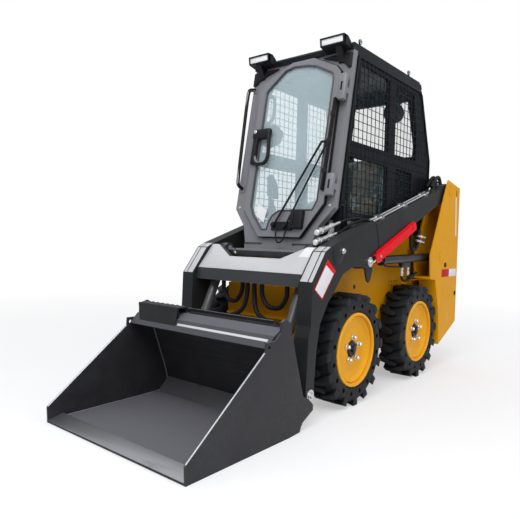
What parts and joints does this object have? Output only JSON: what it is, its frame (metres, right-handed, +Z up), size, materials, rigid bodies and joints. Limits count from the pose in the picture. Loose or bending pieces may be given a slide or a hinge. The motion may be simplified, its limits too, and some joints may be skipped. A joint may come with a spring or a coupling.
{
  "type": "skid steer loader",
  "caption": "Compact wheeled skid steer loader with a bucket on lift arms, an enclosed cab with a front door, rigid wheels and a rear engine bay.",
  "frame": {"origin": "on the ground, midway between the two sides and between the bucket's edge and the towers' backs", "axes": "+Z up, -Y the way the machine faces, +X its left side"},
  "size_m": [0.912, 2.629, 1.941],
  "materials": {
    "body_yellow": "satin golden yellow paint",
    "rim_yellow": "satin golden yellow paint",
    "tyre_black": "matt black solid rubber",
    "charcoal": "semi-matt charcoal paint",
    "front_grey": "semi-matt dark grey paint",
    "black_plastic": "black plastic",
    "seat_fabric": "black vinyl and cloth",
    "tinted_glass": "lightly tinted safety glass",
    "steel": "plain zinc-plated steel",
    "rod_chrome": "hard chrome",
    "cylinder_black": "black paint",
    "cylinder_grey": "grey paint",
    "prop_red": "bright red paint",
    "engine_iron": "dark cast iron",
    "hose_rubber": "black hose rubber",
    "lamp_red": "red lamp lens"
  },
  "bodies": {
    "machine": {"axle_stubs": "steel", "chassis": "body_yellow", "nose_box": "body_yellow", "tread_step": "black_plastic", "engine_bay": "body_yellow", "engine": "engine_iron", "tower_left": "body_yellow", "tower_right": "body_yellow", "hull_sides": "body_yellow", "tower_pins": "steel", "cab_front": "front_grey", "cab_corners": "charcoal", "cab_side_left": "charcoal", "cab_side_right": "charcoal", "side_glass": "tinted_glass", "cab_roof": "charcoal", "cab_rear": "charcoal", "rear_glass": "tinted_glass", "cab_floor": "charcoal", "door_hinges": "front_grey", "seat": "seat_fabric", "seat_base": "black_plastic", "work_lamps": "black_plastic", "cover_hinges": "steel", "rear_bumper": "charcoal", "tail_lamps": "lamp_red", "controls": "black_plastic"},
    "arms": {"arm_left": "charcoal", "arm_right": "charcoal", "arm_pins": "steel", "crossmember": "front_grey", "safety_prop": "prop_red", "front_hoses": "hose_rubber", "arm_lines": "steel", "arm_hoses": "hose_rubber", "couplers": "steel"},
    "tool": {"bucket_shell": "charcoal", "bucket_cheeks": "charcoal", "cutting_edge": "steel", "bucket_step": "charcoal", "carrier": "charcoal"},
    "cab_door": {"door_frame": "front_grey", "door_glass": "tinted_glass", "wiper": "black_plastic"},
    "engine_hood": {"hood": "body_yellow"},
    "engine_door": {"rear_door": "body_yellow"},
    "lift_barrels": {"lift_barrels": "cylinder_black"},
    "lift_rods": {"lift_rods": "rod_chrome"},
    "tilt_barrels": {"tilt_barrels": "cylinder_grey"},
    "tilt_rods": {"tilt_rods": "rod_chrome"},
    "wheel_front_left": {"tyre_front_left": "tyre_black", "rim_front_left": "rim_yellow"},
    "wheel_front_right": {"tyre_front_right": "tyre_black", "rim_front_right": "rim_yellow"},
    "wheel_rear_left": {"tyre_rear_left": "tyre_black", "rim_rear_left": "rim_yellow"},
    "wheel_rear_right": {"tyre_rear_right": "tyre_black", "rim_rear_right": "rim_yellow"}
  },
  "joints": [
    {"name": "lift", "type": "hinge", "parent": "machine", "child": "arms", "pos_m": [0, 1.134, 1.209], "axis": [-1, 0, 0], "range_deg": [0, 65]},
    {"name": "tilt", "type": "hinge", "parent": "arms", "child": "tool", "pos_m": [0, -0.532, 0.14], "axis": [1, 0, 0], "range_deg": [-25, 90]},
    {"name": "wheel_front_left", "type": "hinge", "parent": "machine", "child": "wheel_front_left", "pos_m": [0.3675, -0.117, 0.29], "axis": [1, 0, 0], "continuous": true},
    {"name": "wheel_front_right", "type": "hinge", "parent": "machine", "child": "wheel_front_right", "pos_m": [-0.3675, -0.117, 0.29], "axis": [1, 0, 0], "continuous": true},
    {"name": "wheel_rear_left", "type": "hinge", "parent": "machine", "child": "wheel_rear_left", "pos_m": [0.3675, 0.687, 0.29], "axis": [1, 0, 0], "continuous": true},
    {"name": "wheel_rear_right", "type": "hinge", "parent": "machine", "child": "wheel_rear_right", "pos_m": [-0.3675, 0.687, 0.29], "axis": [1, 0, 0], "continuous": true},
    {"name": "cab_door", "type": "hinge", "parent": "machine", "child": "cab_door", "pos_m": [0.318, -0.1732, 1.38549], "axis": [0, 0.1829, 0.9831], "range_deg": [0, 90]},
    {"name": "hood", "type": "hinge", "parent": "machine", "child": "engine_hood", "pos_m": [0, 1.062, 1.1606], "axis": [1, 0, 0], "range_deg": [0, 60]},
    {"name": "engine_door", "type": "hinge", "parent": "machine", "child": "engine_door", "pos_m": [0.33, 1.305, 0.77], "axis": [0, 0, -1], "range_deg": [0, 100]},
    {"name": "lift_barrel", "type": "hinge", "parent": "machine", "child": "lift_barrels", "pos_m": [0, 0.996, 0.759], "axis": [-1, 0, 0], "range_deg": [0, 60.13]},
    {"name": "lift_rod", "type": "slide", "parent": "lift_barrels", "child": "lift_rods", "axis": [0, -0.9998, -0.0183], "range_m": [0, 0.49525]},
    {"name": "tilt_barrel", "type": "hinge", "parent": "arms", "child": "tilt_barrels", "pos_m": [0, -0.332, 0.795], "axis": [1, 0, 0], "range_deg": [-1.02, 0.29]},
    {"name": "tilt_rod", "type": "slide", "parent": "tilt_barrels", "child": "tilt_rods", "axis": [0, -0.4272, -0.9042], "range_m": [-0.05885, 0.21182]}
  ],
  "couplings": [
    {"joint": "lift_barrel", "follows": "lift", "ratio": 0.92504},
    {"joint": "lift_rod", "follows": "lift", "m_per_rad": 0.43655},
    {"joint": "tilt_barrel", "follows": "tilt", "ratio": -0.011252},
    {"joint": "tilt_rod", "follows": "tilt", "m_per_rad": 0.13484}
  ]
}
